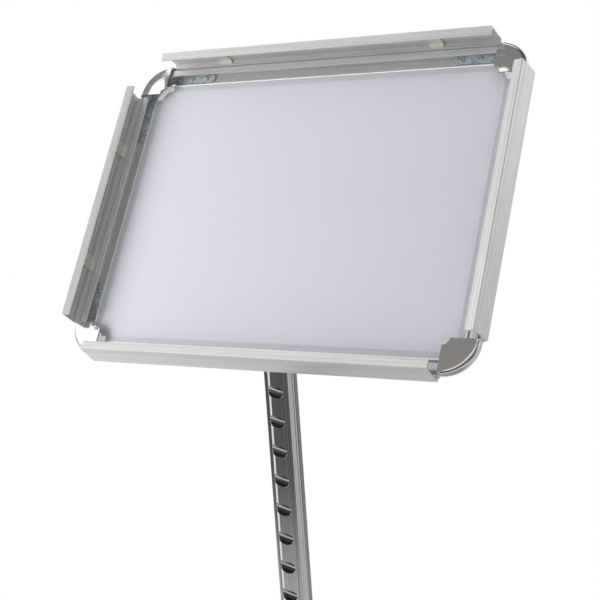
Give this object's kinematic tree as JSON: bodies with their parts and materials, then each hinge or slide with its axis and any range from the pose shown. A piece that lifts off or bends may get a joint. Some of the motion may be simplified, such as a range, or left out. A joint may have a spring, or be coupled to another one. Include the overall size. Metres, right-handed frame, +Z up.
{
  "type": "sign stand",
  "caption": "Floor-standing sign stand: tilting landscape snap frame with rounded bright corners, all covers open, on a notched extruded post and flat base plate.",
  "frame": {"origin": "on the floor under the post, at the centre of the base plate", "axes": "+Z up, -Y towards the reader, +X to the reader's right"},
  "size_m": [0.485, 0.34, 1.215],
  "materials": {
    "anodised_aluminium": "satin anodised, fine lines along the profile",
    "chrome": "mirror plated",
    "zinc_plated_steel": "bright blue zinc plating",
    "spring_steel": "plain rolled spring strip",
    "polished_post": "polished extrusion with long draw lines",
    "painted_steel": "fine textured silver-grey powder coat",
    "rubber": "matt moulded",
    "black_plastic": "fine moulded grain",
    "white_board": "smooth satin",
    "clear_sheet": "clear anti-glare"
  },
  "bodies": {
    "stand": {"base_plate": "painted_steel", "base_foot_0": "rubber", "base_foot_1": "rubber", "base_foot_2": "rubber", "base_foot_3": "rubber", "base_socket": "anodised_aluminium", "base_bolt": "zinc_plated_steel", "post": "polished_post", "post_plug": "anodised_aluminium", "head_fork": "anodised_aluminium", "pivot_bolt": "zinc_plated_steel"},
    "tilt_knob": {"tilt_knob": "black_plastic"},
    "sign": {"tilt_tongue": "anodised_aluminium", "back_rail": "anodised_aluminium", "back_screw_0": "zinc_plated_steel", "back_screw_1": "zinc_plated_steel", "back_screw_2": "zinc_plated_steel", "back_screw_3": "zinc_plated_steel", "rail_top": "anodised_aluminium", "rail_right": "anodised_aluminium", "rail_bottom": "anodised_aluminium", "rail_left": "anodised_aluminium", "cap_top_right": "chrome", "cap_top_left": "chrome", "cap_bottom_left": "chrome", "cap_bottom_right": "chrome", "bracket_top_right": "zinc_plated_steel", "bracket_top_left": "zinc_plated_steel", "bracket_bottom_left": "zinc_plated_steel", "bracket_bottom_right": "zinc_plated_steel", "bracket_screw_top_right_0": "zinc_plated_steel", "bracket_screw_top_right_1": "zinc_plated_steel", "bracket_screw_top_right_2": "zinc_plated_steel", "bracket_screw_top_right_3": "zinc_plated_steel", "bracket_screw_top_left_0": "zinc_plated_steel", "bracket_screw_top_left_1": "zinc_plated_steel", "bracket_screw_top_left_2": "zinc_plated_steel", "bracket_screw_top_left_3": "zinc_plated_steel", "bracket_screw_bottom_left_0": "zinc_plated_steel", "bracket_screw_bottom_left_1": "zinc_plated_steel", "bracket_screw_bottom_left_2": "zinc_plated_steel", "bracket_screw_bottom_left_3": "zinc_plated_steel", "bracket_screw_bottom_right_0": "zinc_plated_steel", "bracket_screw_bottom_right_1": "zinc_plated_steel", "bracket_screw_bottom_right_2": "zinc_plated_steel", "bracket_screw_bottom_right_3": "zinc_plated_steel", "backing_board": "white_board", "clear_sheet": "clear_sheet"},
    "cover_top": {"cover_top": "anodised_aluminium", "spring_top_0": "spring_steel", "spring_top_1": "spring_steel"},
    "cover_right": {"cover_right": "anodised_aluminium", "spring_right_0": "spring_steel", "spring_right_1": "spring_steel"},
    "cover_bottom": {"cover_bottom": "anodised_aluminium", "spring_bottom_0": "spring_steel", "spring_bottom_1": "spring_steel"},
    "cover_left": {"cover_left": "anodised_aluminium", "spring_left_0": "spring_steel", "spring_left_1": "spring_steel"}
  },
  "joints": [
    {"name": "tilt", "type": "hinge", "parent": "stand", "child": "sign", "pos_m": [0, 0, 0.9096], "axis": [-1, 0, 0], "range_deg": [-30, 55]},
    {"name": "knob_turn", "type": "hinge", "parent": "stand", "child": "tilt_knob", "pos_m": [0, 0, 0.9096], "axis": [1, 0, 0], "continuous": true},
    {"name": "cover_top_hinge", "type": "hinge", "parent": "sign", "child": "cover_top", "pos_m": [0, 0.14496, 1.19632], "axis": [1, 0, 0], "range_deg": [0, 85]},
    {"name": "cover_right_hinge", "type": "hinge", "parent": "sign", "child": "cover_right", "pos_m": [0.2362, 0.05001, 1.04729], "axis": [0, -0.5373, -0.8434], "range_deg": [0, 82]},
    {"name": "cover_bottom_hinge", "type": "hinge", "parent": "sign", "child": "cover_bottom", "pos_m": [0, -0.04493, 0.89826], "axis": [-1, 0, 0], "range_deg": [0, 81]},
    {"name": "cover_left_hinge", "type": "hinge", "parent": "sign", "child": "cover_left", "pos_m": [-0.2362, 0.05001, 1.04729], "axis": [0, 0.5373, 0.8434], "range_deg": [0, 82]}
  ]
}
